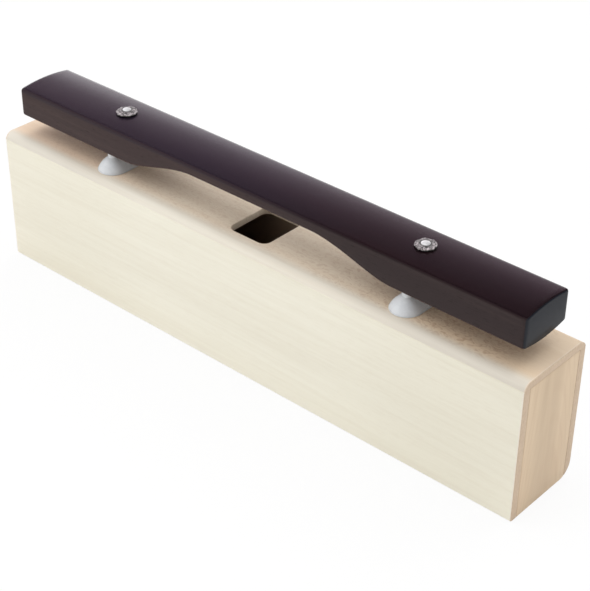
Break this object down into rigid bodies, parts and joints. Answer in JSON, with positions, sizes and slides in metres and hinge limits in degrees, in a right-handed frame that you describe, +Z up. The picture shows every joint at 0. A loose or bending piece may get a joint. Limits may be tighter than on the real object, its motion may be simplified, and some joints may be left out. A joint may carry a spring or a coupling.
{
  "type": "resonator_bar",
  "caption": "Resonator bar: a dark hardwood tone bar with a tuning arch on white cushions, pinned over a closed pale wooden box with a sound hole",
  "frame": {"origin": "Middle of the underside of the box, on the surface that it stands on", "axes": "+X runs along the bar, +Y points to the back of the box, where its foot is rounded, and +Z is up"},
  "size_m": [0.4274, 0.0592, 0.1355],
  "materials": {
    "pale_wood": "satin",
    "end_wood": "satin",
    "inner_wood": "matte",
    "dark_wood": "satin",
    "white_rubber": "matte",
    "grey_felt": "matte",
    "bright_steel": "polished",
    "clear_plastic": "matte"
  },
  "bodies": {
    "base": {"top_plate": "pale_wood", "front_wall": "pale_wood", "back_wall": "pale_wood", "left_end_panel": "end_wood", "right_end_panel": "end_wood", "bottom_plate": "inner_wood", "left_pin_block": "inner_wood", "right_pin_block": "inner_wood", "left_cushion": "white_rubber", "right_cushion": "white_rubber", "left_sleeve": "clear_plastic", "right_sleeve": "clear_plastic", "left_felt_washer": "grey_felt", "right_felt_washer": "grey_felt", "left_pin": "bright_steel", "right_pin": "bright_steel"},
    "bar": {"tone_bar": "dark_wood"}
  },
  "joints": [
    {"name": "bar_lift", "type": "slide", "parent": "base", "child": "bar", "axis": [0, 0, 1], "range_m": [0, 0.0005]}
  ]
}
